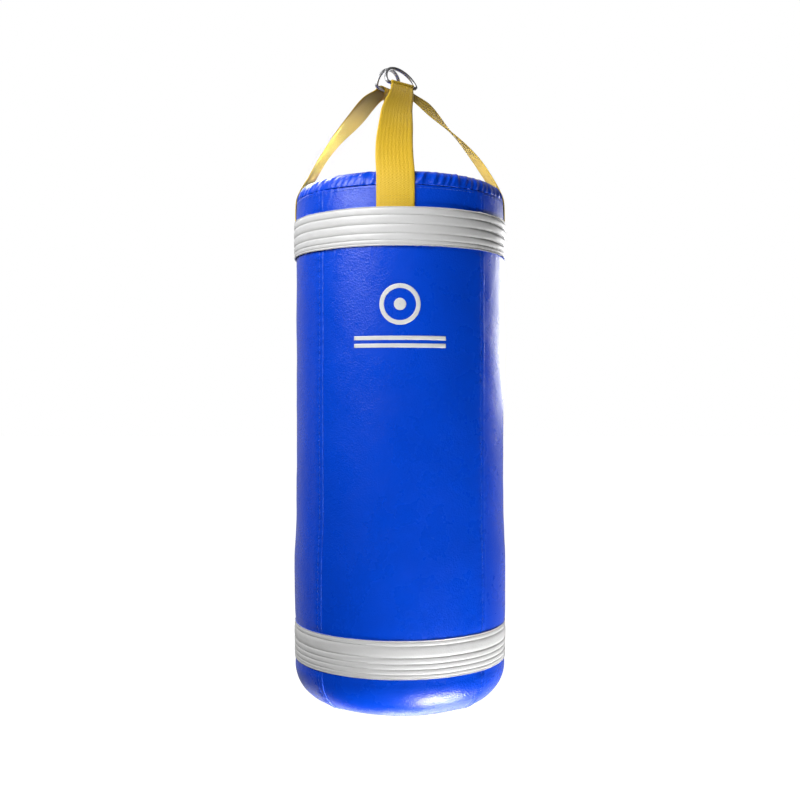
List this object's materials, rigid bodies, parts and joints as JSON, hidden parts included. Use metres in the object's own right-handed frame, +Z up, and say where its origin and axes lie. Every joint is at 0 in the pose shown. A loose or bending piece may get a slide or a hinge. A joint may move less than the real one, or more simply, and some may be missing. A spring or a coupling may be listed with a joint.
{
  "type": "hanging punching bag",
  "caption": "Cylindrical vinyl heavy bag with ribbed bands, hung by webbing straps from two steel D-rings that a hook goes through.",
  "frame": {"origin": "the point where the hook bears, under the tops of the two D-ring arcs", "axes": "+Z up along the bag, -Y towards the printed front, +X to the right as seen from the front"},
  "size_m": [0.305, 0.305, 0.9038],
  "materials": {
    "vinyl_blue": "gloss",
    "vinyl_white": "gloss",
    "webbing_yellow": "matte",
    "ring_steel": "satin",
    "zip_metal": "satin",
    "zip_tape": "matte",
    "zip_teeth": "satin",
    "print_white": "satin",
    "thread_blue": "matte",
    "backing_canvas": "matte",
    "foam": "matte",
    "fill": "matte"
  },
  "bodies": {
    "bag": {"side_panel_front": "vinyl_blue", "side_panel_right": "vinyl_blue", "side_panel_back": "vinyl_blue", "side_panel_left": "vinyl_blue", "bottom_panel": "vinyl_blue", "top_cap": "vinyl_blue", "top_panel_front": "vinyl_blue", "top_panel_back": "vinyl_blue", "upper_band": "vinyl_white", "lower_band": "vinyl_white", "strap_front_right": "webbing_yellow", "strap_back_left": "webbing_yellow", "zipper_tape_front": "zip_tape", "zipper_tape_back": "zip_tape", "zipper_chain": "zip_teeth", "zipper_stop_left": "zip_metal", "zipper_stop_right": "zip_metal", "emblem_ring": "print_white", "emblem_dot": "print_white", "emblem_stripe_upper": "print_white", "emblem_stripe_lower": "print_white", "strap_backing_front": "backing_canvas", "strap_backing_right": "backing_canvas", "strap_backing_left": "backing_canvas", "strap_backing_back": "backing_canvas", "top_foam_pad": "foam", "bottom_foam_pad": "foam", "foam_liner": "foam", "fill_core": "fill"},
    "ring_front_right": {"d_ring_front_right": "ring_steel"},
    "ring_back_left": {"d_ring_back_left": "ring_steel"},
    "slider": {"zipper_slider": "zip_metal"},
    "pull": {"zipper_pull": "zip_metal"}
  },
  "joints": [
    {"name": "ring_front_right_swing", "type": "hinge", "parent": "bag", "child": "ring_front_right", "pos_m": [0.01212, -0.01347, -0.02433], "axis": [0.7431, 0.6691, 0], "range_deg": [0, 110]},
    {"name": "ring_back_left_swing", "type": "hinge", "parent": "bag", "child": "ring_back_left", "pos_m": [-0.0088, 0.00616, -0.02694], "axis": [-0.5736, -0.8192, 0], "range_deg": [0, 96]},
    {"name": "zip_slide", "type": "slide", "parent": "bag", "child": "slider", "axis": [-1, 0, 0], "range_m": [0, 0.176]},
    {"name": "pull_flip", "type": "hinge", "parent": "slider", "child": "pull", "pos_m": [0.097, 0, -0.1694], "axis": [0, 1, 0], "range_deg": [0, 175]}
  ]
}
